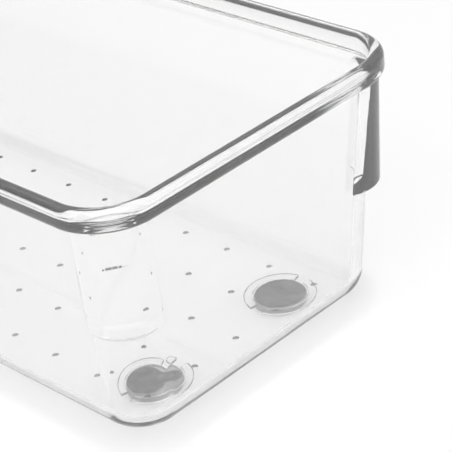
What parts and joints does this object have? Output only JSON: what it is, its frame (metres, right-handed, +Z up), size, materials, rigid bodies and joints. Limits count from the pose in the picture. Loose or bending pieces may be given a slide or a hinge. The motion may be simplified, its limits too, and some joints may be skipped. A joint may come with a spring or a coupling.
{
  "type": "storage tray",
  "caption": "Clear moulded rectangular tray, open at the top, with a dimpled floor, a rolled bead rim, stacking lugs at its corners and soft stick-on foot pads.",
  "frame": {"origin": "bottom centre, on the face that the four foot pads rest on", "axes": "+X along the length towards the front end, +Y across to the right-hand side, +Z up out of the open top"},
  "size_m": [0.2286, 0.0762, 0.052],
  "materials": {
    "clear_plastic": "clear, polished, water-white moulded styrene",
    "pad_rubber": "matt, soft, translucent grey",
    "adhesive": "thin tacky film, finely mottled"
  },
  "bodies": {
    "root": {"tray_shell": "clear_plastic", "foot_pad_front_left": "pad_rubber", "foot_pad_front_right": "pad_rubber", "foot_pad_rear_left": "pad_rubber", "foot_pad_rear_right": "pad_rubber", "adhesive_front_left": "adhesive", "adhesive_front_right": "adhesive", "adhesive_rear_left": "adhesive", "adhesive_rear_right": "adhesive"}
  },
  "joints": []
}
